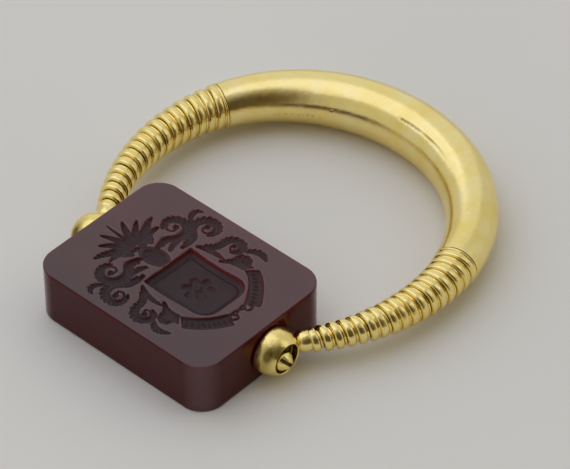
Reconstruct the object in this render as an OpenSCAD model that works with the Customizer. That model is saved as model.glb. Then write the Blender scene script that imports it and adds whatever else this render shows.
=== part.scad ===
// Swivel signet ring. The engraved stone turns on a pin between two round collars, and a tapering
// hoop with wire-bound shoulders joins the collars behind it.
//
// Frame: millimetres, +Z up, with the ring lying flat on z = 0. X runs along the pivot pin, +Y from
// the stone to the back of the hoop. The origin is under the middle of the ring's box.

/* [Stone] */
// Length of the stone along the pin
stone_l = 16; // [14:0.1:18]
// Width of the stone across the pin
stone_w = 12.4; // [10:0.1:14]
// Thickness of the stone, and of the hoop at its back
stone_t = 4.2; // [3.8:0.1:4.6]
// Radius of the four upright corners of the stone
stone_corner_r = 1.85; // [0.5:0.05:3]
// Depth of the shield cut into the seal face
shield_depth = 0.4; // [0.1:0.05:0.6]

/* [Hoop] */
// Mean radius of the hoop's centreline
hoop_r = 12.785; // [12:0.005:14]
// Distance from the pin's axis to the hoop's centre
hoop_set_back = 11.1; // [10.5:0.1:12]
// Radius of the hoop at the ends of the taper, before the neck
side_r = 1.4; // [1.2:0.05:1.6]
// Extra thinning of the neck where the hoop meets its collar
neck_thinning = 0.12; // [0:0.01:0.2]
// Angle from the back of the hoop to its ends
end_angle = 136; // [133:0.5:137]

/* [Wire binding] */
// Angle from the back of the hoop to the start of the right binding
bound_angle_right = 72.5; // [60:0.5:75]
// Angle from the back of the hoop to the start of the left binding
bound_angle_left = 65.5; // [60:0.5:75]
// Angle from the back of the hoop to the end of the binding
bound_end_angle = 130; // [126:0.5:130.5]
// Number of turns of wire on each shoulder
turns = 16; // [12:1:16]
// Width of the flattened binding wire along the shoulder
wire_w = 0.58; // [0.4:0.02:0.58]
// Height of the binding wire above the hoop's core
wire_t = 0.44; // [0.3:0.02:0.5]
// Diameter of the fine wire laid between the turns
fine_d = 0.22; // [0.16:0.02:0.24]

/* [Pivot] */
// Diameter of the pivot pin
pin_d = 1.1; // [0.8:0.05:1.2]
// Radial clearance of the stone's lining on the pin
pin_clearance = 0.05; // [0.02:0.01:0.1]
// Wall of the tube that lines the hole in the stone
lining_wall = 0.25; // [0.15:0.05:0.3]
// Gap between the end of the stone and each collar
end_gap = 0.15; // [0.1:0.01:0.3]
// Largest diameter of each collar
collar_d = 3.44; // [3.3:0.02:3.6]
// Radius of the collar's domed profile
collar_round = 2.08; // [1.9:0.02:2.2]
// Diameter of the recess in the outer face of each collar
recess_d = 2.2; // [1.9:0.05:2.3]

/* [Hidden] */

// The hoop is bent a little out of round, by these amounts once, twice and three times round it.
out_of_round = [-0.19, 0.3, -0.19];
mid_z = stone_t / 2;
back_r = stone_t / 2;
hoop_back_r = hoop_r + out_of_round[0] + out_of_round[1] + out_of_round[2];
// Half the distance from the front of the stone to the back of the hoop sets the origin.
half_depth = (stone_w / 2 + hoop_set_back + hoop_back_r + back_r) / 2;
pin_y = stone_w / 2 - half_depth;
hoop_y = pin_y + hoop_set_back;

lining_bore_d = pin_d + 2 * pin_clearance;
lining_d = lining_bore_d + 2 * lining_wall;
// The lining stands this far out of the stone at each end and bears on the collars.
lining_proud = 0.06;
collar_inner_x = stone_l / 2 + end_gap;
// The collar's centre lies this far behind the pin, towards the hoop.
collar_offset = 0.27;
// Widest section of the collar, measured from its inner face.
collar_belly = 0.12;
// The dome's arc is centred this far beyond the collar's axis. The collar's thickness is taken at
// the rim of the recess.
collar_arc_offset = collar_round - collar_d / 2;
collar_t = collar_belly + sqrt(pow(collar_round, 2) - pow(recess_d / 2 + collar_arc_offset, 2));
collar_outer_x = collar_inner_x + collar_t;
recess_depth = 0.67;
recess_floor_x = collar_outer_x - recess_depth;
head_d = 1.4;
// Diameter of the flat tip of the cone that tops the head.
head_tip_d = 0.7;
head_t = 1.05;
// Share of the head's height that is a plain cylinder, below the cone.
head_rim = 0.6;
slot_w = 0.26;
slot_depth = 0.42;
// Turn of the slot about the pin, from straight up.
slot_turn = 40;

hoop_sides = 24;
wire_sides = 8;
wire_steps = 16;
fine_sides = 5;
fine_steps = 12;
// Space along the hoop, in degrees, that the flat ring in front of the binding takes up.
shoulder_ring_span = 1.2;
$fn = 96;

// Centreline of the hoop at angle a, measured from its back.
function bend_r(a) = hoop_r + out_of_round[0] * cos(a) + out_of_round[1] * cos(2 * a)
    + out_of_round[2] * cos(3 * a);
function hoop_point(a) = [bend_r(a) * sin(a), hoop_y + bend_r(a) * cos(a), mid_z];
function unit(v) = v / norm(v);
function along(a) = unit(hoop_point(a + 0.5) - hoop_point(a - 0.5));
function heading(a) = atan2(along(a).y, along(a).x);
function outward(a) = cross([0, 0, 1], along(a));
// Direction that leaves the centreline at angle a, turned by spin from outward to upward.
function spoke(a, spin) = outward(a) * cos(spin) + [0, 0, 1] * sin(spin);
// Outer radius of the hoop or of its binding at angle a.
function hoop_outer_r(a) = side_r + (back_r - side_r) * cos(a)
    - neck_thinning * pow(abs(a) / end_angle, 12);
function core_r(a) = hoop_outer_r(a) - wire_t;
function ring_on_hoop(a, r, sides) =
    [for (i = [0:sides - 1]) hoop_point(a) + r * spoke(a, 360 * i / sides)];

// Solid skinned over a list of closed rings of points, with flat ends.
module skin(rings) {
    n = len(rings[0]);
    last = len(rings) - 1;
    points = [for (ring = rings) each ring];
    sides = [for (k = [0:last - 1], i = [0:n - 1])
        each [[k * n + i, k * n + (i + 1) % n, (k + 1) * n + i],
              [k * n + (i + 1) % n, (k + 1) * n + (i + 1) % n, (k + 1) * n + i]]];
    first_cap = [for (i = [n - 1:-1:0]) i];
    last_cap = [for (i = [0:n - 1]) last * n + i];
    polyhedron(points, concat(sides, [first_cap], [last_cap]), convexity = 10);
}

// Wire wound round a shoulder whose binding starts at angle bound, at a distance lift from the
// core, starting at the given spin.
function wound_angle(bound, t) = let (start = bound + shoulder_ring_span)
    start + (bound_end_angle - start) * t;
function wound_point(bound, t, lift, start_spin) = let (a = wound_angle(bound, t))
    hoop_point(a) + (core_r(a) + lift) * spoke(a, start_spin + 360 * turns * t);
function wound_ring(bound, t, lift, start_spin, w, h, sides) =
    let (up = spoke(wound_angle(bound, t), start_spin + 360 * turns * t),
         step = 0.2 / (turns * wire_steps),
         run = unit(wound_point(bound, t + step, lift, start_spin)
             - wound_point(bound, t - step, lift, start_spin)),
         side = cross(run, up),
         centre = wound_point(bound, t, lift, start_spin))
    [for (i = [0:sides - 1])
        centre + up * h / 2 * cos(360 * (i + 0.5) / sides) + side * w / 2 * sin(360 * (i + 0.5) / sides)];
module winding(bound, lift, start_spin, w, h, sides, steps) {
    count = turns * steps;
    skin([for (k = [0:count]) wound_ring(bound, k / count, lift, start_spin, w, h, sides)]);
}

// Stands its children on the hoop at angle a, with their Z axis along the hoop.
module on_hoop(a) {
    translate(hoop_point(a)) rotate([0, 90, heading(a)]) children();
}

module on_pin_axis() {
    translate([0, pin_y, mid_z]) rotate([0, 90, 0]) children();
}

module left_side() {
    mirror([1, 0, 0]) children();
}

module stone_outline() {
    square([stone_l - 2 * stone_corner_r, stone_w], center = true);
    square([stone_l, stone_w - 2 * stone_corner_r], center = true);
    for (sx = [-1, 1], sy = [-1, 1])
        translate([sx * (stone_l / 2 - stone_corner_r), sy * (stone_w / 2 - stone_corner_r)])
            circle(r = stone_corner_r);
}

// Shield with a straight chief and a rounded foot. Its top faces the left collar.
module shield_outline() {
    chief_x = -1.2;
    foot_x = 4.6;
    half_w = 2.3;
    foot_r = 1.3;
    translate([chief_x, -half_w]) square([foot_x - chief_x - foot_r, 2 * half_w]);
    translate([chief_x, foot_r - half_w]) square([foot_x - chief_x, 2 * (half_w - foot_r)]);
    for (side = [-1, 1])
        translate([foot_x - foot_r, side * (half_w - foot_r)]) circle(r = foot_r);
}

module stone() {
    color("#5a2a26")
    difference() {
        translate([0, pin_y, 0]) linear_extrude(stone_t) stone_outline();
        on_pin_axis() cylinder(d = lining_d, h = 2 * stone_l, center = true);
        translate([0, pin_y, stone_t - shield_depth]) linear_extrude(stone_t) shield_outline();
    }
}

module stone_lining() {
    color("#d9bb6b")
    on_pin_axis() difference() {
        cylinder(d = lining_d, h = stone_l + 2 * lining_proud, center = true);
        cylinder(d = lining_bore_d, h = 2 * stone_l, center = true);
    }
}

// Pin with a slotted head that stands in the right collar's recess. Its left end is riveted over
// a low washer-like head inside the left collar's recess.
module pivot_pin() {
    rivet_t = 0.3;
    color("#e0c676")
    on_pin_axis() difference() {
        union() {
            translate([0, 0, -recess_floor_x]) cylinder(d = pin_d, h = 2 * recess_floor_x);
            translate([0, 0, recess_floor_x]) cylinder(d = head_d, h = head_rim * head_t);
            translate([0, 0, recess_floor_x + head_rim * head_t])
                cylinder(d1 = head_d, d2 = head_tip_d, h = (1 - head_rim) * head_t);
            translate([0, 0, -recess_floor_x - rivet_t]) cylinder(d = head_d, h = rivet_t);
        }
        rotate([0, 0, slot_turn])
            translate([-head_d, -slot_w / 2, recess_floor_x + head_t - slot_depth])
                cube([2 * head_d, slot_w, head_t]);
    }
}

// Half profile of a collar: x is the distance from its own axis, y the distance from its inner face.
module collar_profile() {
    intersection() {
        square([collar_d / 2, collar_t]);
        translate([-collar_arc_offset, collar_belly]) circle(r = collar_round);
    }
}

module collar_right() {
    color("#d9bb6b")
    difference() {
        translate([0, collar_offset, 0]) on_pin_axis()
            translate([0, 0, collar_inner_x]) rotate_extrude() collar_profile();
        translate([0, collar_offset, 0]) on_pin_axis()
            translate([0, 0, recess_floor_x]) cylinder(d = recess_d, h = collar_t);
        on_pin_axis() translate([0, 0, stone_l / 2]) cylinder(d = pin_d, h = 2 * collar_t);
    }
}

module collar_left() {
    left_side() collar_right();
}

// Round bar, thick and smooth at the back, stepped down to a core under the binding.
module hoop() {
    back_steps = 32;
    side_steps = 16;
    left = [for (k = [side_steps:-1:0])
        -bound_angle_left - (end_angle - bound_angle_left) * k / side_steps];
    right = [for (k = [0:side_steps])
        bound_angle_right + (end_angle - bound_angle_right) * k / side_steps];
    back = [for (k = [0:back_steps])
        -bound_angle_left + (bound_angle_right + bound_angle_left) * k / back_steps];
    color("#cfae5c")
    skin(concat(
        [for (a = left) ring_on_hoop(a, core_r(a), hoop_sides)],
        [for (a = back) ring_on_hoop(a, hoop_outer_r(a), hoop_sides)],
        [for (a = right) ring_on_hoop(a, core_r(a), hoop_sides)]));
}

// Barrel-shaped bead on the hoop's core between the binding and the collar.
module neck_bead_right() {
    bead_a = 133.1;
    bead_w = 1.15;
    bead_h = 0.42;
    bead_round = (pow(bead_w / 2, 2) + pow(bead_h, 2)) / (2 * bead_h);
    core = core_r(bead_a);
    color("#e3ca80")
    on_hoop(bead_a) rotate_extrude() intersection() {
        translate([core + bead_h - bead_round, 0]) circle(r = bead_round);
        translate([core, -bead_w]) square([bead_h, 2 * bead_w]);
    }
}

module neck_bead_left() {
    left_side() neck_bead_right();
}

// Narrow ring with a rounded rim that covers the step between the smooth hoop and the binding.
module shoulder_ring(bound) {
    ring_a = bound + shoulder_ring_span / 2;
    inner_r = core_r(ring_a);
    outer_r = hoop_outer_r(ring_a) + 0.02;
    color("#e3ca80")
    on_hoop(ring_a) rotate_extrude() {
        translate([outer_r - fine_d / 2, 0]) circle(d = fine_d);
        translate([inner_r, -fine_d / 2]) square([outer_r - fine_d / 2 - inner_r, fine_d]);
    }
}

module shoulder_ring_right() {
    shoulder_ring(bound_angle_right);
}

module shoulder_ring_left() {
    left_side() shoulder_ring(bound_angle_left);
}

// Flattened wire wound round the hoop's core.
module binding_wire(bound) {
    color("#d9bb6b")
    winding(bound, wire_t / 2, 0, wire_w, wire_t, wire_sides, wire_steps);
}

module binding_wire_right() {
    binding_wire(bound_angle_right);
}

module binding_wire_left() {
    left_side() binding_wire(bound_angle_left);
}

// Fine wire wound between the turns of the binding wire.
module fine_wire(bound) {
    color("#ead592")
    winding(bound, wire_t / 2, 180, fine_d, fine_d, fine_sides, fine_steps);
}

module fine_wire_right() {
    fine_wire(bound_angle_right);
}

module fine_wire_left() {
    left_side() fine_wire(bound_angle_left);
}

stone();
stone_lining();
pivot_pin();
hoop();
collar_right();
collar_left();
neck_bead_right();
neck_bead_left();
shoulder_ring_right();
shoulder_ring_left();
binding_wire_right();
binding_wire_left();
fine_wire_right();
fine_wire_left();
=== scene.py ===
# Looks of the swivel signet ring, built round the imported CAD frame. Geometry is worked out in
# millimetres in the row frame, with the same formulas as the CAD source, and scaled to metres.
import math

import bpy
import numpy as np
from mathutils import Matrix, Vector


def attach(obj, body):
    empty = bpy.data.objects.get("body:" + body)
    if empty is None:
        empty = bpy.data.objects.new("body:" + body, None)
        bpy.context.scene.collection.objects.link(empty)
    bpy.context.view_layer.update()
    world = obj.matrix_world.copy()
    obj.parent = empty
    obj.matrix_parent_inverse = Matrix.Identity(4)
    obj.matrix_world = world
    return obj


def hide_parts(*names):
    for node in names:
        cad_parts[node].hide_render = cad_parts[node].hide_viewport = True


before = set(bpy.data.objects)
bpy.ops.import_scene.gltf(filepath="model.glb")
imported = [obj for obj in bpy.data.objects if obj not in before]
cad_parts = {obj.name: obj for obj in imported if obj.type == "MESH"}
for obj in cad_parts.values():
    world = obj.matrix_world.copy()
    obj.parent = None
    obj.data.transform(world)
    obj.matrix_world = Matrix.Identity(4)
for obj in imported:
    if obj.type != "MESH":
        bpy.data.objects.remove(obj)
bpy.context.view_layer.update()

MM = 0.001
UP = np.array([0.0, 0.0, 1.0])

# Sizes from the CAD source, in millimetres.
STONE_L, STONE_W, STONE_T, STONE_CORNER_R = 16.0, 12.4, 4.2, 1.85
SHIELD_DEPTH = 0.4
HOOP_R, SIDE_R, BACK_R = 12.785, 1.4, 2.1
HOOP_Y, PIN_Y, MID_Z = 1.2475, -9.8525, 2.1
OUT_OF_ROUND = (-0.19, 0.3, -0.19)
NECK_THINNING = 0.12
END_ANGLE = math.radians(136)
BOUND_START = {"right": math.radians(72.5), "left": math.radians(65.5)}
BOUND_END = math.radians(130)
RING_SPAN = math.radians(1.2)
TURNS = 16
WIRE_W, WIRE_T, FINE_D = 0.58, 0.44, 0.22
PIN_D, LINING_D = 1.1, 1.7
COLLAR_X, COLLAR_D, COLLAR_ROUND, COLLAR_BELLY = 8.15, 3.44, 2.08, 0.12
COLLAR_OFFSET, RECESS_D, RECESS_DEPTH = 0.27, 2.2, 0.67
HEAD_D, HEAD_TIP_D, HEAD_T, HEAD_RIM = 1.4, 0.7, 1.05, 0.6
SLOT_W, SLOT_DEPTH, SLOT_TURN = 0.26, 0.42, math.radians(40)
BEAD_ANGLE, BEAD_W, BEAD_PROUD = math.radians(133.1), 1.15, 0.42
SHIELD_CENTRE, SHIELD_HALF = (0, -1.7), (2.3, 2.9)
COLLAR_ARC_OFFSET = COLLAR_ROUND - COLLAR_D / 2
COLLAR_T = COLLAR_BELLY + math.sqrt(COLLAR_ROUND**2 - (RECESS_D / 2 + COLLAR_ARC_OFFSET) ** 2)
RECESS_FLOOR_X = COLLAR_X + COLLAR_T - RECESS_DEPTH


# ---- Hoop curve --------------------------------------------------------------------------------

def unit(v):
    return v / np.linalg.norm(v, axis=-1, keepdims=True)


def hoop_point(a):
    bend = HOOP_R + sum(k * np.cos((i + 1) * a) for i, k in enumerate(OUT_OF_ROUND))
    return np.stack([bend * np.sin(a), HOOP_Y + bend * np.cos(a), np.full_like(a, MID_Z)], -1)


def along(a):
    return unit(hoop_point(a + 0.008) - hoop_point(a - 0.008))


def spoke(a, spin):
    """Direction away from the hoop's centreline, turned by spin from outward to upward."""
    out = np.cross(UP, along(a))
    return out * np.cos(spin)[..., None] + UP * np.sin(spin)[..., None]


def outer_r(a):
    return SIDE_R + (BACK_R - SIDE_R) * np.cos(a) - NECK_THINNING * (np.abs(a) / END_ANGLE) ** 12


def core_r(a):
    return outer_r(a) - WIRE_T


# ---- Mesh helpers ------------------------------------------------------------------------------

def add_mesh(name, points, faces, material, sharp=35, uv=None, values=None):
    """Mesh object from points in millimetres, with edges sharper than sharp degrees kept crisp. uv
    holds one pair per face corner, and values one number per point for the material to read."""
    mesh = bpy.data.meshes.new(name)
    mesh.from_pydata((np.asarray(points, float) * MM).tolist(), [], faces)
    if uv is not None:
        layer = mesh.uv_layers.new(name="Surface")
        layer.data.foreach_set("uv", np.asarray(uv, np.float32).ravel())
    for key, numbers in (values or {}).items():
        attribute = mesh.attributes.new(key, "FLOAT", "POINT")
        attribute.data.foreach_set("value", np.asarray(numbers, np.float32).ravel())
    mesh.materials.append(material)
    mesh.validate()
    mesh.polygons.foreach_set("use_smooth", [True] * len(mesh.polygons))
    mesh.set_sharp_from_angle(angle=math.radians(sharp))
    piece = bpy.data.objects.new(name, mesh)
    bpy.context.scene.collection.objects.link(piece)
    return piece


def tube_faces(rings, sides, closed=False):
    """Quads of a tube of rings, with flat ends unless it closes on itself."""
    faces = []
    for k in range(rings if closed else rings - 1):
        low, high = k * sides, (k + 1) % rings * sides
        for i in range(sides):
            j = (i + 1) % sides
            faces.append((low + i, high + i, high + j, low + j))
    if not closed:
        faces.append(tuple(range(sides)))
        faces.append(tuple((rings - 1) * sides + i for i in reversed(range(sides))))
    return faces


def tube(name, rings, material, values=None, mirrored=False, closed=False):
    """Tube through an array of rings (ring, side, xyz), mirrored in X where asked. Its UV map is in
    centimetres: U along it, V round it."""
    rings = np.array(rings, float)
    count, sides = rings.shape[:2]
    if mirrored:
        rings[..., 0] *= -1
    faces = tube_faces(count, sides, closed)
    if mirrored:
        faces = [face[::-1] for face in faces]
    middle = rings.mean(1)
    run = np.concatenate([[0], np.cumsum(np.linalg.norm(np.diff(middle, axis=0), axis=1))]) / 10
    if closed:
        run = np.zeros(count + 1)
    round_it = np.linalg.norm(np.diff(rings[0], axis=0, append=rings[:1, 0]), axis=1)
    turn = np.concatenate([[0], np.cumsum(round_it)]) / 10
    uv = []
    for k in range(count if closed else count - 1):
        for i in range(sides):
            corners = [(run[k], turn[i]), (run[k + 1], turn[i])]
            corners += [(run[k + 1], turn[i + 1]), (run[k], turn[i + 1])]
            uv += corners[::-1] if mirrored else corners
    if not closed:
        uv += [(0.0, 0.0)] * (2 * sides)
    return add_mesh(name, rings.reshape(-1, 3), faces, material, uv=uv, values=values)


def lathe(name, profile, place, material, grime_and_shade, sides=96, mirrored=False):
    """Closed profile of (radius, height) points turned round an axis; place maps local points to
    the row frame, and the last argument is one number per profile point, or one row of them per
    side, for how much grime and painted shade darken the gold there."""
    profile = np.asarray(profile, float)
    turn = np.linspace(0, 2 * math.pi, sides, endpoint=False)
    local = np.stack([
        profile[None, :, 0] * np.cos(turn)[:, None],
        profile[None, :, 0] * np.sin(turn)[:, None],
        np.repeat(profile[None, :, 1], sides, 0)], -1)
    rings = place(local.reshape(-1, 3)).reshape(local.shape)
    values = {"grime_and_shade": np.broadcast_to(grime_and_shade, (sides, len(profile))).ravel()}
    return tube(name, rings, material, values, mirrored, closed=True)


def arc(centre, radius, start, end, steps):
    """Points along an arc, from the start angle to the end angle in degrees."""
    a = np.radians(np.linspace(start, end, steps))
    return np.stack([centre[0] + radius * np.cos(a), centre[1] + radius * np.sin(a)], -1)


def tell(piece, body, slot, *nodes):
    """Tells the frame which body carries the piece, and hides the CAD nodes it stands for.
    slot is not used.
    """
    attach(piece, body)
    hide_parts(*nodes)
    return piece


def cut_out(piece, cutter):
    """Cuts the cutter's solid out of the piece, and leaves a plain mesh."""
    modifier = piece.modifiers.new("cut", "BOOLEAN")
    modifier.operation = "DIFFERENCE"
    modifier.solver = "EXACT"
    modifier.object = cutter
    modifier.material_mode = "TRANSFER"
    bpy.context.view_layer.update()
    made = bpy.data.meshes.new_from_object(
        piece.evaluated_get(bpy.context.evaluated_depsgraph_get()))
    piece.modifiers.clear()
    piece.data = made
    bpy.data.objects.remove(cutter)
    made.name = piece.name


# ---- Materials ---------------------------------------------------------------------------------

# The first colour darkens the gold in hollows: grime, and painted shade.
TARNISH_AND_SHADE, RUBBED_GOLD = (0.2, 0.14, 0.03), (0.97, 0.82, 0.38)
SARD_DARK, SARD_LIGHT = (0.085, 0.011, 0.009), (0.13, 0.017, 0.014)
# The second colour dims the sard towards -Y: painted shade.
SARD_CLOUD, SARD_DIM = (0.07, 0.012, 0.011), (0.7, 0.72, 0.74)
# The first colour greys the sard's rounded corners, wear and a painted sheen; the second is a
# painted red glow for the walls of the cuts.
SARD_WEAR_AND_SHEEN, SARD_GLOW = (0.16, 0.09, 0.09), (0.15, 0.009, 0.007)


class Look:
    """A node material with one Principled shader, and short ways to add what drives it."""

    def __init__(self, name):
        self.material = bpy.data.materials.new(name)
        self.material.use_nodes = True
        self.tree = self.material.node_tree
        self.shader = next(n for n in self.tree.nodes if n.type == "BSDF_PRINCIPLED")

    def node(self, kind, **settings):
        made = self.tree.nodes.new("ShaderNode" + kind)
        for key, value in settings.items():
            setattr(made, key, value)
        return made

    def link(self, source, target):
        self.tree.links.new(source, target)

    def feed(self, made, sockets):
        for key, value in sockets.items():
            if isinstance(value, bpy.types.NodeSocket):
                self.link(value, made.inputs[key])
            else:
                made.inputs[key].default_value = value

    def place(self, stretch=(1, 1, 1), uv=False):
        """Object coordinates in millimetres, or the tube's own UV map in centimetres."""
        if uv:
            source = self.node("UVMap", uv_map="Surface").outputs["UV"]
            scale = stretch
        else:
            source = self.node("TexCoord").outputs["Object"]
            scale = [s / MM for s in stretch]
        mapping = self.node("Mapping")
        self.feed(mapping, {"Vector": source, "Scale": scale})
        return mapping.outputs["Vector"]

    def noise(self, where, scale, detail=3, roughness=0.5):
        made = self.node("TexNoise")
        self.feed(made, {"Vector": where, "Scale": scale, "Detail": detail,
                         "Roughness": roughness})
        return made.outputs["Fac"]

    def ramp(self, value, *stops):
        """Colour or grey along a value: stops are (position, colour)."""
        made = self.node("ValToRGB")
        points = made.color_ramp.elements
        while len(points) < len(stops):
            points.new(0.5)
        for point, (position, colour) in zip(points, stops):
            point.position = position
            point.color = (*colour, 1) if isinstance(colour, tuple) else (colour,) * 3 + (1,)
        self.link(value, made.inputs["Fac"])
        return made.outputs["Color"]

    def mix(self, factor, a, b, blend="MIX"):
        made = self.node("Mix", data_type="RGBA", blend_type=blend)
        for socket, value in ((0, factor), (6, a), (7, b)):
            if isinstance(value, bpy.types.NodeSocket):
                self.link(value, made.inputs[socket])
            else:
                made.inputs[socket].default_value = value if socket == 0 else (*value, 1)
        return made.outputs[2]

    def value(self, name):
        return self.node("Attribute", attribute_name=name).outputs["Fac"]

    def bump(self, height, strength, distance, below=None):
        made = self.node("Bump")
        self.feed(made, {"Height": height, "Strength": strength, "Distance": distance * MM})
        if below is not None:
            self.link(below, made.inputs["Normal"])
        return made.outputs["Normal"]


def gold(name, rough, pale, deep, brushed=False, grime_and_shade=False, dents=0.25):
    """Worn yellow gold: soft clouds of tone and gloss, a fine grain, and a few pits."""
    dent_depth, grain_depth, pit_depth = 0.05, 0.03, 0.03
    look = Look(name)
    body = look.place()
    tone = look.noise(body, 0.55, 4, 0.6)
    colour = look.ramp(tone, (0.3, deep), (0.7, pale))
    # Darker in hollows, by a per-point value: painted shade and grime.
    if grime_and_shade:
        colour = look.mix(look.value("grime_and_shade"), colour, TARNISH_AND_SHADE)
    cloud = look.noise(body, 1.4, 5, 0.65)
    gloss = look.ramp(cloud, (0.3, rough[0]), (0.72, rough[1]))
    if brushed:
        # Paler patches where the surface is rubbed, and a grain that follows the bar.
        rubbed = look.ramp(look.noise(body, 0.5, 3, 0.5), (0.35, 0.0), (0.75, 1.0))
        colour = look.mix(rubbed, colour, RUBBED_GOLD)
        grain = look.noise(look.place((14, 60, 1), uv=True), 1.0, 6, 0.75)
    else:
        grain = look.noise(body, 14, 4, 0.6)
    soft = look.noise(body, 2.2, 3, 0.5)
    speck = look.node("TexVoronoi", feature="F1")
    look.feed(speck, {"Vector": body, "Scale": 0.9, "Randomness": 1.0})
    pit = look.ramp(speck.outputs["Distance"], (0.0, 0.0), (0.05, 1.0))
    normal = look.bump(soft, dents, dent_depth)
    normal = look.bump(grain, 0.35 if brushed else 0.12, grain_depth, normal)
    normal = look.bump(pit, 0.5, pit_depth, normal)
    look.feed(look.shader, {
        "Base Color": colour, "Roughness": gloss, "Normal": normal,
        "Metallic": 1.0, "Specular Tint": (1.0, 1.0, 0.95, 1)})
    return look.material


def sard(name, gloss, specular, tint):
    """Dark red-brown sard, faintly banded and clouded. It is dimmer towards -Y (painted shade),
    greyer on rounded corners (wear, and a painted sheen), and has a painted red glow in the
    walls of the cuts."""
    look = Look(name)
    body = look.place()
    bands = look.noise(look.place((0.12, 0.3, 0.9)), 1.0, 4, 0.6)
    clouds = look.noise(body, 0.5, 5, 0.6)
    colour = look.ramp(bands, (0.3, SARD_DARK), (0.7, SARD_LIGHT))
    colour = look.mix(clouds, colour, SARD_CLOUD)
    colour = look.mix(1.0, colour, tint, "MULTIPLY")
    # Dimmer towards -Y, by a per-point value: painted shade.
    dim = look.mix(1.0, colour, SARD_DIM, "MULTIPLY")
    colour = look.mix(look.value("clear"), dim, colour)
    # Greyer on rounded corners: wear, and a painted sheen.
    colour = look.mix(look.value("wear_and_sheen"), colour, SARD_WEAR_AND_SHEEN)
    # A painted red glow in the walls of the cuts.
    colour = look.mix(look.value("wall"), colour, SARD_GLOW)
    shine = look.ramp(look.noise(body, 1.1, 4, 0.6), (0.3, gloss[0]), (0.75, gloss[1]))
    normal = look.bump(look.noise(body, 0.7, 2, 0.5), 0.06, 0.1)
    grit = look.noise(body, 11, 5, 0.7)
    normal = look.bump(grit, 0.02 if gloss[0] < 0.2 else 0.4, 0.05, normal)
    look.feed(look.shader, {
        "Base Color": colour, "Roughness": shine, "Normal": normal,
        "IOR": 1.54, "Specular IOR Level": specular, "Subsurface Weight": 0.6,
        "Subsurface Radius": (1.0, 0.12, 0.07), "Subsurface Scale": 0.0012})
    return look.material


SATIN = gold("satin_gold", (0.17, 0.28), (0.97, 0.78, 0.27), (0.93, 0.70, 0.20), brushed=True,
             grime_and_shade=True)
POLISHED = gold("polished_gold", (0.14, 0.25), (0.95, 0.77, 0.27), (0.91, 0.69, 0.19))
DIRTY_AND_SHADED = gold("collar_gold", (0.17, 0.3), (1.0, 0.82, 0.31), (0.98, 0.75, 0.21), grime_and_shade=True,
             dents=0.7)
# Near-black gold for the walls of the pin's slot: painted shade.
SLOT_SHADE = gold("slot_gold", (0.35, 0.5), (0.16, 0.10, 0.03), (0.08, 0.045, 0.012))
WOUND = gold("wound_gold", (0.13, 0.25), (0.98, 0.81, 0.33), (0.96, 0.75, 0.24), grime_and_shade=True,
             dents=0.7)
# The sides' copy has a redder, darker tint and a weak specular, and the cuts' copy a darker, greyer
# tint, so both read darker than the face: painted shade. The cuts are also rougher, as a cut
# surface is.
SARD = [sard("sard_face", (0.05, 0.1), 0.75, (1, 1, 1)),
        sard("sard_side", (0.07, 0.14), 0.13, (1.05, 0.78, 0.75)),
        sard("sard_cut", (0.4, 0.55), 0.3, (0.4, 0.7, 0.7))]


# ---- Hoop, wires and rings -----------------------------------------------------------------------

def lumps(x, y, scale, seed):
    """Smooth unevenness of about one, from a few sine waves."""
    waves = np.random.default_rng(seed).uniform(0, 2 * math.pi, (5, 2))
    total = 0
    for k, (turn, phase) in enumerate(waves):
        rate = (1 + 0.6 * k) / scale
        total = total + np.sin(rate * (x * math.cos(turn) + y * math.sin(turn)) + phase)
    return total / 2.5


def pit_row(seed, count, first, last, spin, spread):
    """Small random pits along a stretch of the hoop: the angle, spin and radius of each."""
    chance = np.random.default_rng(seed)
    at = np.linspace(first, last, count) + chance.normal(0, 0.5, count)
    spins = spin + chance.normal(0, spread, count)
    return np.stack([np.radians(at), np.radians(spins), chance.uniform(0.05, 0.1, count)], -1)


def make_hoop():
    back_rings, arm_rings, sides = 410, 50, 190
    unevenness, crease_depth, pit_depth = 0.012, 0.045, 0.04
    back = np.linspace(-BOUND_START["left"], BOUND_START["right"], back_rings)
    left = np.linspace(-END_ANGLE, -BOUND_START["left"], arm_rings)
    right = np.linspace(BOUND_START["right"], END_ANGLE, arm_rings)
    angles = np.concatenate([left, back, right])
    radius = np.concatenate([core_r(left), outer_r(back), core_r(right)])
    spins = np.linspace(0, 2 * math.pi, sides, endpoint=False)
    a, s = np.meshgrid(angles, spins, indexing="ij")
    r = np.repeat(radius[:, None], len(spins), 1)
    on_back = np.zeros_like(a)
    on_back[len(left):-len(right)] = 1
    # Hand-worn unevenness, and a fine crease along the top of the back with a raised lip.
    r = r + on_back * unevenness * lumps(a * HOOP_R, s * 2, 2.4, 3)
    crease_at = np.radians(126.5) - 0.19 * (a - 0.07)
    across = (s - crease_at) * BACK_R
    window = np.exp(-(((a - 0.25) / 0.2) ** 4)) * (0.7 + 0.3 * np.sin(23 * a) * np.sin(9 * a))
    line = np.exp(-((across / 0.07) ** 2))
    groove = line - 0.45 * np.exp(-(((across + 0.15) / 0.09) ** 2))
    r = r - on_back * crease_depth * window * groove
    # Pits: a row on the inner side, a lone one, and a few where the crease begins.
    rows = [pit_row(5, 9, -48, -31, 185, 0.7), pit_row(6, 1, -26.5, -26.5, 162.5, 0.1),
            pit_row(8, 10, 3, 10, 127, 0.9)]
    pitted = np.zeros_like(a)
    for angle, spin, size in np.concatenate(rows):
        away = ((a - angle) * HOOP_R) ** 2 + ((s - spin) * BACK_R) ** 2
        pitted = np.maximum(pitted, np.exp(-away / size**2))
    r = r - pit_depth * pitted
    # Darker in the pits and along the crease: painted shade and grime.
    grime_and_shade = np.clip(0.85 * pitted + on_back * window * line, 0, 1)
    rings = hoop_point(a) + r[..., None] * spoke(a, s)
    hoop = tube("hoop_bar", rings, SATIN, values={"grime_and_shade": grime_and_shade})
    tell(hoop, "hoop", "gold", "hoop")


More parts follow.
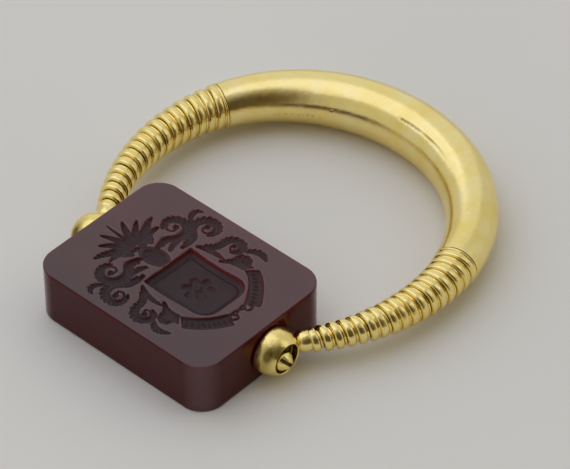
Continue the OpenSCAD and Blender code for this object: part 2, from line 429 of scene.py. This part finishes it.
def wound(side, t, lift, start_spin):
    """Points of a helix round the shoulder, t from 0 to 1, and the way up from the hoop there."""
    start = BOUND_START[side] + RING_SPAN
    a = start + (BOUND_END - start) * t
    spin = start_spin + 2 * math.pi * TURNS * t
    up = spoke(a, spin)
    return hoop_point(a) + (core_r(a) + lift)[..., None] * up, up


def make_winding(name, side, lift, start_spin, width, height, steps, sides, square, seed,
                 sink=0.0):
    """Wire wound round the shoulder, slightly uneven. square is below 1 for a flattened section,
    and sink is how far the wire lies deeper at the neck."""
    lift_wobble, width_wobble, slip_wobble = 0.006, 0.03, 0.018
    # Half a turn more at each end runs down under the ring and the bead.
    before, after, tuck_per_turn = 0.5, 0.6, 0.12
    t = np.linspace(-before, TURNS + after, int((TURNS + before + after) * steps)) / TURNS
    tuck = tuck_per_turn * (np.clip(-t, 0, 1) + np.clip(t - 1, 0, 1)) * TURNS
    knots = np.linspace(0, 1, TURNS * 2 + 3)
    wobble = np.random.default_rng(seed).normal(0, 1, (3, len(knots)))
    lift_t = lift - tuck + lift_wobble * np.interp(t, knots, wobble[0]) - sink * np.clip(t, 0, 1)
    width_t = width * (1 + width_wobble * np.interp(t, knots, wobble[1]))
    slip = slip_wobble * np.interp(t, knots, wobble[2])
    step = 0.2 / (TURNS * steps)
    centre, up = wound(side, t, lift_t, start_spin)
    run = unit(wound(side, t + step, lift_t, start_spin)[0]
               - wound(side, t - step, lift_t, start_spin)[0])
    across = np.cross(run, up)
    centre = centre + across * slip[:, None]
    turn = np.linspace(0, 2 * math.pi, sides, endpoint=False)
    c, s = np.cos(turn), np.sin(turn)
    high = np.sign(c) * np.abs(c) ** square * height / 2
    wide = np.sign(s) * np.abs(s) ** square
    rings = (centre[:, None] + up[:, None] * high[None, :, None]
             + across[:, None] * (wide[None, :] * width_t[:, None] / 2)[..., None])
    # Darker on the wire's lower flanks, down in the grooves between turns: painted shade and grime.
    low = np.clip(0.3 - high / height * 1.5, 0, 1) ** 1.5
    grime_and_shade = np.tile(low, len(t))
    return tube(name, rings, WOUND, values={"grime_and_shade": grime_and_shade}, mirrored=side == "left")


def on_hoop(angle):
    """Maps local points to the hoop at an angle, with local Z along the hoop."""
    a = np.array(angle)
    centre, run = hoop_point(a), along(a)
    out = np.cross(UP, run)
    return lambda p: centre + p[:, :1] * out + p[:, 1:2] * UP + p[:, 2:] * run


def make_shoulder(side, mirrored):
    wire = make_winding(f"binding_{side}", side, WIRE_T / 2, 0, WIRE_W, WIRE_T, steps=44, sides=24,
                        square=0.65, seed=11)
    tell(wire, "hoop", "gold_wire", f"binding_wire_{side}")
    fine = make_winding(f"fine_twist_{side}", side, WIRE_T / 2, math.pi, FINE_D, FINE_D, steps=44,
                        sides=10, square=1, seed=12, sink=0.09)
    tell(fine, "hoop", "gold_wire", f"fine_wire_{side}")
    angle = BOUND_START[side] + RING_SPAN / 2
    inner = float(core_r(np.array(angle)))
    outer = float(outer_r(np.array(angle))) + 0.02
    half = FINE_D / 2
    rim = arc((outer - half, 0), half, -90, 90, 12)
    profile = np.concatenate([[(inner, -half)], rim, [(inner, half)]])
    ring = lathe(f"shoulder_band_{side}", profile, on_hoop(angle), WOUND, np.zeros(len(profile)),
                 mirrored=mirrored)
    tell(ring, "hoop", "gold_wire", f"shoulder_ring_{side}")
    core, overlap = float(core_r(np.array(BEAD_ANGLE))), 0.02
    turn = np.linspace(-math.pi / 2, math.pi / 2, 30)
    swell = np.sign(np.sin(turn)) * np.abs(np.sin(turn)) ** 0.85
    profile = np.stack([core - overlap + (BEAD_PROUD + overlap) * np.abs(np.cos(turn)) ** 0.7,
                        swell * (BEAD_W / 2 + 0.04)], -1)
    # The bead is darker at its sides, where it meets the hoop and the winding: painted shade and
    # grime.
    bead = lathe(f"neck_collar_bead_{side}", profile, on_hoop(BEAD_ANGLE), WOUND,
                 np.abs(np.sin(turn)) ** 8, mirrored=mirrored)
    tell(bead, "hoop", "gold_wire", f"neck_bead_{side}")


# ---- Collars and pin -----------------------------------------------------------------------------

def on_pin(behind=0.0):
    """Maps local points to the pin's axis, or to a line behind it: local Z along +X, local X up,
    local Y towards -Y."""
    def place(p):
        return np.stack([p[:, 2], PIN_Y + behind - p[:, 1], MID_Z + p[:, 0]], -1)
    return place


def make_collar(side, mirrored):
    rim, floor, sides = 0.09, COLLAR_T - RECESS_DEPTH, 96
    start = -math.degrees(math.asin(COLLAR_BELLY / COLLAR_ROUND))
    end = math.degrees(math.acos((RECESS_D / 2 + rim + COLLAR_ARC_OFFSET) / COLLAR_ROUND))
    outside = arc((-COLLAR_ARC_OFFSET, COLLAR_BELLY), COLLAR_ROUND, start, end, 44)
    lip = arc((RECESS_D / 2 + rim, outside[-1, 1] - rim), rim, 90, 180, 7)
    inside = [(RECESS_D / 2, floor + 0.25), (RECESS_D / 2, floor + 0.05),
              (RECESS_D / 2 - 0.05, floor)]
    bore = [(PIN_D / 2, floor), (PIN_D / 2, 0.03), (PIN_D / 2 + 0.03, 0)]
    profile = np.concatenate([outside, lip, inside, bore])
    profile[:, 1] += COLLAR_X
    # Darker on the lip and inside the recess round the pin's head: painted shade and grime.
    grime_and_shade = np.concatenate([np.zeros(len(outside)), np.linspace(0, 0.5, len(lip)),
                            np.ones(len(inside) + 1), np.zeros(len(bore) - 1)])
    # A tarnished patch on the side away from the hoop.
    stain_turn, stain_rise = 58, 31
    turn = np.degrees(np.linspace(0, 2 * math.pi, sides, endpoint=False))
    rise = np.degrees(np.arctan2(profile[:, 1] - COLLAR_X, profile[:, 0]))
    stain = (np.exp(-(((turn - stain_turn) / 26) ** 2))[:, None]
             * np.exp(-(((rise - stain_rise) / 13) ** 2)))
    on_outside = np.arange(len(profile)) < len(outside)
    grime_and_shade = np.maximum(grime_and_shade[None], np.clip(1.3 * stain, 0, 1) * on_outside)
    collar = lathe(f"collar_ball_{side}", profile, on_pin(COLLAR_OFFSET), DIRTY_AND_SHADED, grime_and_shade, sides,
                   mirrored)
    tell(collar, "hoop", "gold", f"collar_{side}")


def make_pin():
    """Pin with a riveted dome at one end, and a slotted cone-shaped head at the other."""
    tip_z = RECESS_FLOOR_X + HEAD_T
    rim_z = RECESS_FLOOR_X + HEAD_RIM * HEAD_T
    soft, axis = 0.05, 0.001
    shank, head, tip = PIN_D / 2, HEAD_D / 2, HEAD_TIP_D / 2
    profile = np.array([
        (axis, -RECESS_FLOOR_X - 0.3), (head - 0.12, -RECESS_FLOOR_X - 0.28),
        (head - 0.03, -RECESS_FLOOR_X - 0.2), (head, -RECESS_FLOOR_X - 0.1),
        (head, -RECESS_FLOOR_X), (shank, -RECESS_FLOOR_X), (shank, RECESS_FLOOR_X),
        (head, RECESS_FLOOR_X), (head, rim_z - soft), (head - 0.02, rim_z),
        (head - soft, rim_z + soft), (tip + soft, tip_z - 0.06), (tip - 0.02, tip_z - 0.01),
        (tip - 0.12, tip_z), (axis, tip_z)])
    # Darker round the pin where it leaves the floor of the recess: painted shade and grime.
    dirt_and_shade = (np.abs(profile[:, 1] - RECESS_FLOOR_X) < 0.01) * 0.8
    pin = lathe("pivot_screw", profile, on_pin(), DIRTY_AND_SHADED, dirt_and_shade, sides=64)
    half, reach = SLOT_W / 2, 1.4
    corners = np.array([(x, y, z) for x in (-reach, reach) for y in (-half, half)
                        for z in (tip_z - SLOT_DEPTH, tip_z + 1)])
    c, s = math.cos(SLOT_TURN), math.sin(SLOT_TURN)
    turned = np.stack([c * corners[:, 0] - s * corners[:, 1],
                       s * corners[:, 0] + c * corners[:, 1], corners[:, 2]], -1)
    box_faces = [(0, 1, 3, 2), (4, 6, 7, 5), (0, 4, 5, 1), (2, 3, 7, 6), (0, 2, 6, 4), (1, 5, 7, 3)]
    # The slot's walls take the cutter's near-black gold: painted shade.
    cut_out(pin, add_mesh("slot_cutter", on_pin()(turned), box_faces, SLOT_SHADE))
    tell(pin, "hoop", "gold", "pivot_pin")


# ---- Engraving -----------------------------------------------------------------------------------
# A made-up ornament, in (right, up) coordinates from the middle of the stone's face.

def bezier(a, b, c, count):
    """Points of a quadratic curve from a to c, pulled towards b."""
    t = np.linspace(0, 1, count)[:, None]
    return (1 - t) ** 2 * np.array(a) + 2 * t * (1 - t) * np.array(b) + t**2 * np.array(c)


def close_by(field, path, reach):
    """Which of the field's points are near a path's box."""
    u, v = field["u"], field["v"]
    lo, hi = path.min(0) - reach, path.max(0) + reach
    return (u > lo[0]) & (u < hi[0]) & (v > lo[1]) & (v < hi[1])


def carve(field, path, width, depth):
    """Cuts a groove of round section along a path into the field of depths."""
    path = np.asarray(path, float)
    width = np.broadcast_to(width, len(path))
    depth = np.broadcast_to(depth, len(path))
    near = close_by(field, path, width.max())
    if not near.any():
        return
    spots = np.stack([field["u"][near], field["v"][near]], -1)
    share = ((spots[:, None] - path[None]) ** 2).sum(-1) / width[None] ** 2
    found = (depth[None] * np.clip(1 - share, 0, 1) ** 0.7).max(1)
    field["depth"][near] = np.maximum(field["depth"][near], found)


def frond(field, path, width, lobe, depth):
    """Leafy band along a path: rounded lobes leaning forward on both sides of a deep midrib."""
    path = np.asarray(path, float)
    near = close_by(field, path, width * 1.1)
    away = np.stack([field["u"][near], field["v"][near]], -1)[:, None] - path[None]
    nearest = (away**2).sum(-1).argmin(1)
    away = away[np.arange(len(nearest)), nearest]
    way = unit(np.gradient(path, axis=0))
    length = np.concatenate([[0], np.linalg.norm(np.diff(path, axis=0), axis=1).cumsum()])
    run = length[nearest] + (away * way[nearest]).sum(-1)
    share = run / length[-1]
    wide = width * np.sin(math.pi * np.clip(0.1 + 0.9 * share, 0, 1)) ** 0.6 + 1e-3
    out = np.linalg.norm(away, axis=-1) / wide
    phase = run / lobe - 0.95 * out
    swell = np.abs(np.sin(math.pi * phase))
    body = ramp_in(out - 0.6 - 0.4 * swell**0.8, 0.28) * (share > -0.02) * (share < 1.02)
    rib = 0.07 * np.exp(-((out * wide / 0.055) ** 2))
    cut = body * (depth * (0.45 + 0.55 * swell**0.7) + rib)
    field["depth"][near] = np.maximum(field["depth"][near], cut)


def scroll(field, start, centre, radius, first, turns, width, leafage):
    """Tapering stem from start that winds up into a spiral, with a leafy outer side."""
    t = np.linspace(0, 1, 90)
    a = math.radians(first) + 2 * math.pi * turns * t
    r = radius * (1 - 0.82 * t**0.9)
    curl = np.array(centre) + r[:, None] * np.stack([np.cos(a), np.sin(a)], -1)
    sense = math.copysign(1, turns)
    heading = np.array([-math.sin(a[0]), math.cos(a[0])]) * sense
    gap = np.linalg.norm(curl[0] - start)
    stem = bezier(start, curl[0] - heading * gap * 0.5, curl[0], 30)
    path = np.concatenate([stem, curl[1:]])
    s = np.linspace(0, 1, len(path))
    way = unit(np.gradient(path, axis=0))
    outside = np.stack([way[:, 1], -way[:, 0]], -1) * sense
    leafy = (path + outside * leafage * 0.5)[4:int(len(path) * 0.72)]
    frond(field, leafy, leafage, 0.33, 0.17)
    carve(field, path, width * (1.1 - 0.75 * s), 0.25 - 0.1 * s)
    carve(field, [curl[-1]], np.array([width * 1.5]), np.array([0.22]))
    inner = path - outside * (width * 1.3)
    carve(field, inner[14:84], 0.045, 0.08)


def rounded_box(u, v, centre, half, corner):
    """Signed distance to a rounded rectangle."""
    q = np.stack([np.abs(u - centre[0]) - half[0] + corner,
                  np.abs(v - centre[1]) - half[1] + corner], -1)
    return (np.linalg.norm(np.maximum(q, 0), axis=-1) + np.minimum(q.max(-1), 0)) - corner


def shield_distance(u, v):
    """Signed distance to the shield: a straight chief, and rounded corners at the foot only."""
    whole = rounded_box(u, v, SHIELD_CENTRE, SHIELD_HALF, 0.06)
    foot = rounded_box(u, v, SHIELD_CENTRE, SHIELD_HALF, 1.3)
    return np.where(v < -2.5, foot, whole)


def ramp_in(distance, wall):
    """Smooth step from 0 outside an outline to 1 once further inside it than the wall's width."""
    t = np.clip(-distance / wall, 0, 1)
    return t * t * (3 - 2 * t)


def engrave(x, y):
    """Depth of the seal's ornament at stone-centred points, in millimetres. Its left half mirrors
    its right half, apart from a slight waver of the hand."""
    hand_u = 0.05 * np.sin(1.1 * x + 0.4) + 0.03 * np.sin(2.3 * y + 1.0 + x)
    hand_v = 0.05 * np.sin(0.9 * y + 0.8) + 0.03 * np.sin(1.9 * x + 0.5 * y)
    u, v = y + hand_u, -x + hand_v
    field = {"u": np.abs(u), "v": v, "depth": np.zeros_like(x)}
    # Mantling of leafy scrolls at both sides.
    scroll(field, (0.75, 2.9), (3.0, 3.45), 1.0, 215, 1.3, 0.17, 0.46)
    scroll(field, (1.9, 1.6), (4.4, 1.55), 0.9, 150, -1.3, 0.16, 0.44)
    scroll(field, (2.85, 0.7), (4.35, -1.1), 0.72, 95, -1.2, 0.14, 0.38)
    scroll(field, (2.75, -1.3), (3.75, -2.55), 0.42, 95, -1.1, 0.11, 0.26)
    frond(field, bezier((0.85, 3.5), (1.35, 5.0), (2.9, 5.25), 60), 0.42, 0.3, 0.18)
    frond(field, bezier((1.1, 2.0), (1.9, 2.5), (2.5, 2.1), 40), 0.3, 0.26, 0.16)
    frond(field, bezier((2.65, 0.9), (3.3, -0.2), (3.0, -1.5), 50), 0.27, 0.28, 0.16)
    frond(field, bezier((4.6, -2.0), (5.5, -2.6), (4.7, -3.7), 50), 0.34, 0.26, 0.16)
    frond(field, bezier((4.3, 3.0), (5.3, 3.9), (5.5, 2.9), 40), 0.28, 0.24, 0.15)
    # Crest: a fan of plumes on a twisted roll, with a ribbed boss below it.
    for k, turn in enumerate((0, 21, 43, 66, 90)):
        angle = math.radians(90 - turn)
        base = np.array([0.13 * k, 4.2])
        long = 2.75 - 0.2 * k
        tip = base + long * np.array([math.cos(angle), math.sin(angle)])
        bow = base + 0.6 * long * np.array([math.cos(angle + 0.16), math.sin(angle + 0.16)])
        frond(field, bezier(base, bow, tip, 50), 0.31, 0.2, 0.2)
    for k in range(4):
        strand = 0.05 + 0.36 * k
        path = bezier((strand, 3.72), (strand + 0.2, 3.9), (strand + 0.3, 4.2), 12)
        carve(field, path, 0.15, 0.22)
    carve(field, bezier((0.0, 4.3), (0.5, 4.35), (0.95, 4.2), 16), 0.26, 0.2)
    boss = np.hypot(u / 0.8, (v - 2.35) / 1.2)
    ribs = 0.05 * np.cos(2 * math.pi * u / 0.3) * (np.abs(v - 2.3) < 0.75)
    dome = ramp_in(boss - 1, 0.3) * (0.2 + ribs)
    dome += 0.1 * np.exp(-(((boss - 1.0) / 0.07) ** 2))
    field["depth"] = np.maximum(field["depth"], dome)
    depth = field["depth"]
    # Shield: a flat-floored pocket with a bevelled wall, a border line and a rosette.
    shield = shield_distance(u, v)
    depth = np.where(shield < 0.12, depth * np.clip((shield - 0.02) / 0.1, 0, 1), depth)
    pocket = (SHIELD_DEPTH - 0.03) * ramp_in(shield, 0.14)
    border = 0.1 * np.exp(-((shield + 0.42) / 0.07) ** 2)
    rose_v = v + 1.75
    rose_r, rose_a = np.hypot(u, rose_v), np.arctan2(rose_v, u)
    petal = 0.62 + 0.62 * np.abs(np.cos(3 * rose_a)) ** 0.8
    flower = 0.16 * ramp_in(rose_r - petal, 0.22) - 0.14 * np.exp(-((rose_r / 0.26) ** 4))
    flower -= 0.08 * np.exp(-((np.abs(np.sin(3 * rose_a)) * rose_r / 0.06) ** 2)) * (rose_r < 1.15)
    depth = depth + pocket + (border + flower) * (pocket > 0.3)
    # Ribbon: a shallow band under the shield with folded ends, a row of beads and a knot.
    band_a = np.arctan2((v + 1.2) / 4.75, u / 3.85)
    band_r = np.hypot(u / 3.85, (v + 1.2) / 4.75)
    off = (band_r - 1) * 4.3 + 0.08 * np.cos(6 * band_a)
    sweep = np.abs(np.degrees(band_a) + 90)
    edge = np.maximum(np.abs(off) - 0.58, (np.abs(sweep - 38) - 24 + 3 * off) * 0.07)
    flap_off = off + 0.3 + (sweep - 70) * 0.02
    flap_end = (np.abs(sweep - 71) - 7 - 3 * np.abs(flap_off)) * 0.07
    flap = np.maximum(np.abs(flap_off) - 0.48, flap_end)
    band = 0.16 * ramp_in(edge, 0.1)
    line = 0.06 * np.exp(-(((np.abs(off) - 0.47) / 0.035) ** 2)) * (band > 0.1)
    place = sweep / 5.2
    bead_r = np.hypot((place - np.round(place)) * 0.38 / 0.13, off / 0.28)
    bead = 0.13 * np.clip(1 - bead_r**2, 0, 1) * (band > 0.15)
    depth = np.maximum(depth, 0.19 * ramp_in(flap, 0.1) * (edge > 0.03))
    knot = {"u": u, "v": v, "depth": np.zeros_like(x)}
    t = np.linspace(0, 1, 60)
    for sign in (-1, 1):
        a = math.radians(90 - sign * 60) - sign * 2 * math.pi * 0.85 * t
        r = 0.36 * (1 - 0.55 * t)
        loop = np.array([sign * 0.62, -5.75]) + r[:, None] * np.stack([np.cos(a), np.sin(a)], -1)
        carve(knot, loop, 0.1 - 0.03 * t, 0.2 - 0.06 * t)
        joint = bezier(loop[0], (sign * 0.5, -5.1), (-sign * 0.5, -5.75), 40)
        carve(knot, joint, 0.08, 0.17)
    depth = np.maximum(depth, knot["depth"])
    outside = shield > 0.1
    return np.maximum(depth, (band + line + bead) * outside)


def smooth(field):
    """Evens out a grid of depths a little."""
    for axis in (0, 1):
        near = np.roll(field, 1, axis) + np.roll(field, -1, axis)
        field = 0.5 * field + 0.25 * near
    return field


# ---- Stone ---------------------------------------------------------------------------------------

def rounded_corner(p, half, corner):
    """Pulls the corner squares of a rectangle's grid onto quarter discs."""
    core = half - corner
    q = np.clip((np.abs(p) - core) / corner, 0, 1)
    both = (q > 0).all(-1)
    bent = np.stack([q[..., 0] * np.sqrt(1 - q[..., 1] ** 2 / 2),
                     q[..., 1] * np.sqrt(1 - q[..., 0] ** 2 / 2)], -1)
    return np.where(both[..., None], np.sign(p) * (core + corner * bent), p)


def make_stone():
    bevel, low_bevel = 0.07, 0.12
    nx, ny = 332, 258
    half = np.array([STONE_L / 2, STONE_W / 2])
    xs = np.linspace(-1, 1, nx) * (half[0] - bevel)
    ys = np.linspace(-1, 1, ny) * (half[1] - bevel)
    flat = np.stack(np.meshgrid(xs, ys, indexing="ij"), -1)
    flat = rounded_corner(flat, half - bevel, STONE_CORNER_R - bevel)
    depth = smooth(engrave(flat[..., 0], flat[..., 1]))
    depth[[0, -1]] = 0
    depth[:, [0, -1]] = 0
    top = np.concatenate([flat, STONE_T - depth[..., None]], -1).reshape(-1, 3)
    index = np.arange(nx * ny).reshape(nx, ny)
    quads = np.stack([index[:-1, :-1], index[1:, :-1], index[1:, 1:], index[:-1, 1:]], -1)
    faces = [tuple(q) for q in quads.reshape(-1, 4).tolist()]
    rim = np.concatenate([index[:-1, 0], index[-1, :-1], index[:0:-1, -1], index[0, :0:-1]])
    edge = top[rim, :2]
    # Outward directions along the rim, from the rounded rectangle itself.
    core = half - STONE_CORNER_R
    centre = np.clip(edge, -core, core)
    normal = unit(edge - centre)
    flat_x = np.abs(edge[:, 0]) < core[0]
    flat_y = np.abs(edge[:, 1]) < core[1]
    normal[flat_x] = np.stack([0 * edge[flat_x, 0], np.sign(edge[flat_x, 1])], -1)
    normal[flat_y] = np.stack([np.sign(edge[flat_y, 0]), 0 * edge[flat_y, 1]], -1)
    rows = [(bevel * math.sin(a), STONE_T - bevel * (1 - math.cos(a)))
            for a in np.radians((22.5, 45, 67.5, 90))]
    rows += [(bevel, STONE_T - 0.3), (bevel, low_bevel + 0.2)]
    rows += [(bevel - low_bevel * (1 - math.cos(a)), low_bevel * (1 - math.sin(a)))
             for a in np.radians((0, 45, 90))]
    # Two rings on the underside keep its middle evenly shaded and evenly coloured.
    rows += [(-0.2, 0.0), (-1.3, 0.0)]
    points = [top]
    last = rim
    for out, z in rows:
        ring = np.concatenate([edge + normal * out, np.full((len(rim), 1), z)], -1)
        fresh = sum(map(len, points)) + np.arange(len(rim))
        points.append(ring)
        after_last, after_fresh = np.roll(last, -1), np.roll(fresh, -1)
        faces += [tuple(q) for q in np.stack([last, fresh, after_fresh, after_last], -1).tolist()]
        last = fresh
    faces.append(tuple(last[::-1].tolist()))
    points = np.concatenate(points)
    slope = np.hypot(*np.gradient(depth, xs[1] - xs[0], ys[1] - ys[0]))
    # Painted light: the walls of the cuts get a red glow, stronger towards +Y, and the stone is
    # dimmer towards -Y, a painted shade.
    wall = np.zeros(len(points))
    glow = np.interp(flat[..., 1], (-1.5, 2.0), (0.3, 1.0))
    wall[:nx * ny] = (np.clip(slope / 1.5 - 0.3, 0, 1) * glow).ravel()
    # Dimmer towards -Y and underneath: painted shade.
    clear = np.interp(points[:, 1], (-6.3, 2.5), (0, 1))
    clear[-len(rim):] = 0.6
    # Greyer on the rounded corners of the sides: wear, and a painted sheen.
    wear_and_sheen = np.zeros(len(points))
    wear_and_sheen[nx * ny:] = np.tile(0.8 * np.abs(2 * normal[:, 0] * normal[:, 1]), len(rows))
    wear_and_sheen[-len(rim):] = 0
    values = {"wall": wall, "wear_and_sheen": wear_and_sheen, "clear": clear}
    points[:, 1] += PIN_Y
    stone = add_mesh("sard_seal", points, faces, SARD[0], sharp=50, values=values)
    for extra in SARD[1:]:
        stone.data.materials.append(extra)
    # The face, the sides and the cuts have a material each.
    dug = depth > 0.02
    dug_face = dug[:-1, :-1] & dug[1:, :-1] & dug[1:, 1:] & dug[:-1, 1:]
    face, side, cut = range(len(SARD))
    which = np.full(len(faces), side)
    which[:dug_face.size] = np.where(dug_face.ravel(), cut, face)
    stone.data.polygons.foreach_set("material_index", which)
    # The bore for the lining runs right through.
    turn = np.linspace(0, 2 * math.pi, 72, endpoint=False)
    circle = np.stack([LINING_D / 2 * np.cos(turn), LINING_D / 2 * np.sin(turn), 0 * turn], -1)
    ends = [on_pin()(circle + np.array([0, 0, x])) for x in (-STONE_L, STONE_L)]
    cut_out(stone, tube("bore_cutter", np.array(ends), SARD[1]))
    tell(stone, "bezel", "stone", "stone")


make_hoop()
for side, mirrored in (("right", False), ("left", True)):
    make_shoulder(side, mirrored)
    make_collar(side, mirrored)
make_pin()
make_stone()
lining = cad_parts["stone_lining"]
lining.data.materials.clear()
lining.data.materials.append(POLISHED)


# ---- Floor, light and camera ---------------------------------------------------------------------

def make_floor():
    look = Look("floor_paper")
    tone = look.noise(look.place(), 0.02, 2, 0.5)
    colour = look.ramp(tone, (0.35, (0.87, 0.84, 0.72)), (0.65, (0.9, 0.87, 0.75)))
    look.feed(look.shader, {"Base Color": colour, "Roughness": 0.7, "Specular IOR Level": 0.2})
    mesh = bpy.data.meshes.new("floor")
    reach = 4.0
    mesh.from_pydata([(-reach, -reach, 0), (reach, -reach, 0), (reach, reach, 0),
                      (-reach, reach, 0)], [], [(0, 1, 2, 3)])
    mesh.materials.append(look.material)
    floor = bpy.data.objects.new("floor", mesh)
    bpy.context.scene.collection.objects.link(floor)


def add_softbox(name, at, aim, size, radiance, colour=(1, 1, 1)):
    """Area light, aimed at a point, of a set brightness as seen in a reflection."""
    light = bpy.data.lights.new(name, "AREA")
    light.shape = "RECTANGLE"
    light.size, light.size_y = size
    light.energy = radiance * math.pi * size[0] * size[1]
    light.color = colour
    lamp = bpy.data.objects.new(name, light)
    lamp.location = at
    lamp.rotation_euler = (Vector(at) - Vector(aim)).to_track_quat("Z", "Y").to_euler()
    lamp.visible_camera = False
    bpy.context.scene.collection.objects.link(lamp)


def make_world():
    """Even, faintly cool light all round, fading to a dim warm one on the camera's side."""
    dim_side = (0.837, -0.305, 0.454)
    stops = ((0.0, 0.57, (0.98, 1, 1.05)), (0.4, 0.58, (0.98, 1, 1.05)),
             (0.68, 0.46, (1, 0.98, 0.95)), (0.84, 0.18, (1, 0.88, 0.65)),
             (0.94, 0.08, (1, 0.75, 0.45)))
    world = bpy.data.worlds.new("studio")
    bpy.context.scene.world = world
    world.use_nodes = True
    tree = world.node_tree
    background = next(n for n in tree.nodes if n.type == "BACKGROUND")
    where = tree.nodes.new("ShaderNodeTexCoord")
    towards = tree.nodes.new("ShaderNodeVectorMath")
    towards.operation = "DOT_PRODUCT"
    towards.inputs[1].default_value = dim_side
    ramp = tree.nodes.new("ShaderNodeValToRGB")
    while len(ramp.color_ramp.elements) < len(stops):
        ramp.color_ramp.elements.new(0.5)
    for element, (at, strength, hue) in zip(ramp.color_ramp.elements, stops):
        element.position = at
        element.color = [strength * c for c in hue] + [1]
    tree.links.new(where.outputs["Generated"], towards.inputs[0])
    tree.links.new(towards.outputs["Value"], ramp.inputs["Fac"])
    tree.links.new(ramp.outputs["Color"], background.inputs["Color"])


def make_camera():
    """The photograph's viewpoint: a long lens, 43 degrees round and 43 degrees up."""
    azimuth, elevation, roll = (math.radians(d) for d in (42.61, 42.51, -0.28))
    aim, distance = Vector((1.2, -0.55, MID_Z)) * MM, 243.5 * MM
    back = Vector((math.sin(azimuth) * math.cos(elevation),
                   -math.cos(azimuth) * math.cos(elevation), math.sin(elevation)))
    level = Vector((math.cos(azimuth), math.sin(azimuth), 0))
    rise = back.cross(level)
    right = math.cos(roll) * level + math.sin(roll) * rise
    up = -math.sin(roll) * level + math.cos(roll) * rise
    lens = bpy.data.cameras.new("camera")
    lens.sensor_width = 36
    lens.lens = 221.05263
    lens.clip_start, lens.clip_end = 0.01, 20
    camera = bpy.data.objects.new("camera", lens)
    turn = Matrix((right, up, back)).transposed().to_4x4()
    camera.matrix_world = Matrix.Translation(aim + back * distance) @ turn
    bpy.context.scene.collection.objects.link(camera)
    bpy.context.scene.camera = camera


make_floor()
make_world()
add_softbox("softbox_top", (-0.69, -0.12, 0.85), (-0.69, -0.12, 0), (1.64, 0.96), 0.45,
            (0.94, 1.0, 1.5))
add_softbox("card_back", (-0.62, 0.74, 0.54), (0, 0, 0), (1.1, 1.15), 0.18, (0.94, 1.0, 1.15))
add_softbox("card_right", (0.66, 0.6, 0.85), (0, 0, 0), (0.6, 0.6), 0.35)
make_camera()
bpy.context.scene.view_settings.view_transform = "Standard"
